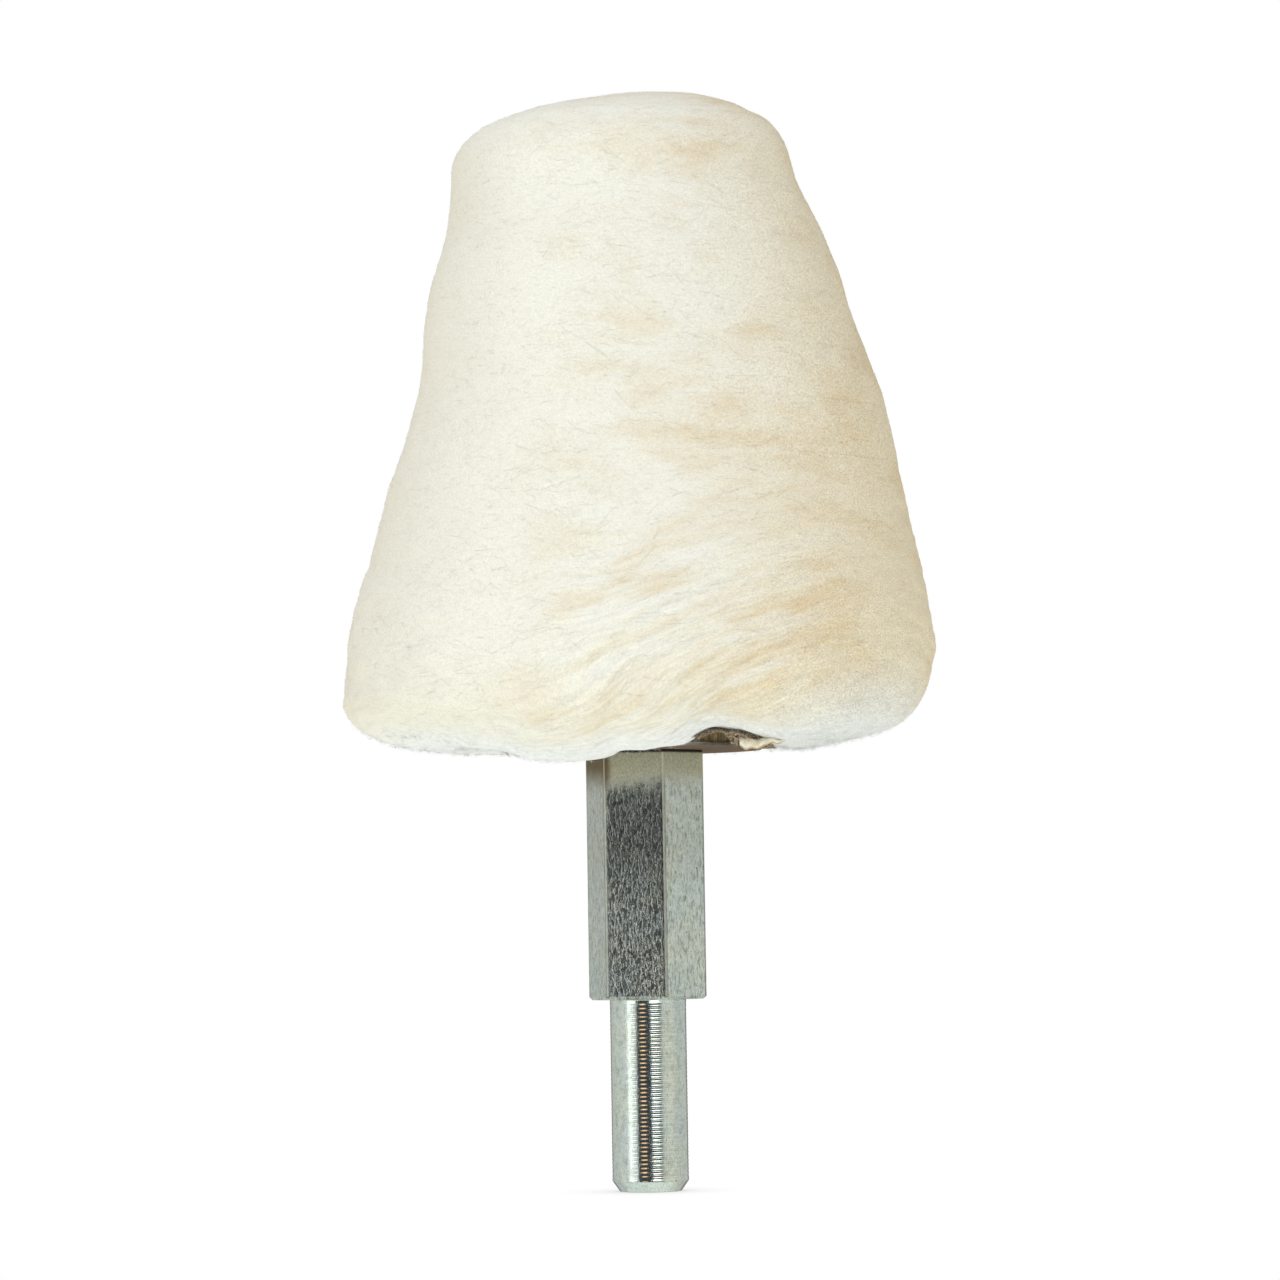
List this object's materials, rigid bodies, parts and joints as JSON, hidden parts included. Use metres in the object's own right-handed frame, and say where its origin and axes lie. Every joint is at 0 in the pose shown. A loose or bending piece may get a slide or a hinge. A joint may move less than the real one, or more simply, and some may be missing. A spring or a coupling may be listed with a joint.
{
  "type": "goblet polishing mop",
  "caption": "Goblet-shaped cotton polishing mop clamped between washers on a hexagonal steel bar that steps down to a round shank for a drill chuck.",
  "frame": {"origin": "centre of the shank's free end", "axes": "+Z along the shank towards the mop's crown; -Y is square to one flat of the hexagon"},
  "size_m": [0.062, 0.062, 0.115],
  "materials": {
    "zinc_plate": "bright zinc plate over turned and drawn steel",
    "washer_steel": "plain pressed steel, lightly tarnished",
    "spring_steel": "hardened spring steel",
    "screw_steel": "bright zinc plate",
    "tan_fibre": "pressed fibre board, matt",
    "cotton": "raised and brushed unbleached cotton"
  },
  "bodies": {
    "mop": {"drive_shank": "zinc_plate", "base_washer": "washer_steel", "base_fibre_disc": "tan_fibre", "cotton_ply_set_01": "cotton", "cotton_ply_set_02": "cotton", "cotton_ply_set_03": "cotton", "cotton_ply_set_04": "cotton", "cotton_ply_set_05": "cotton", "cotton_ply_set_06": "cotton", "cotton_ply_set_07": "cotton", "cotton_ply_set_08": "cotton", "cotton_ply_set_09": "cotton", "cotton_ply_set_10": "cotton", "cotton_ply_set_11": "cotton", "cotton_ply_set_12": "cotton", "cotton_ply_set_13": "cotton", "cotton_ply_set_14": "cotton", "top_fibre_disc": "tan_fibre", "top_washer": "washer_steel"},
    "captive_washer": {"spring_washer": "spring_steel"},
    "screw": {"clamp_screw": "screw_steel"}
  },
  "joints": [
    {"name": "screw_lift", "type": "slide", "parent": "mop", "child": "captive_washer", "axis": [0, 0, 1], "range_m": [0, 0.013]},
    {"name": "screw_turn", "type": "hinge", "parent": "captive_washer", "child": "screw", "pos_m": [0, 0, 0.093], "axis": [0, 0, 1], "range_deg": [0, 4681]}
  ],
  "couplings": [
    {"joint": "screw_turn", "follows": "screw_lift", "rad_per_m": 6283.2}
  ]
}
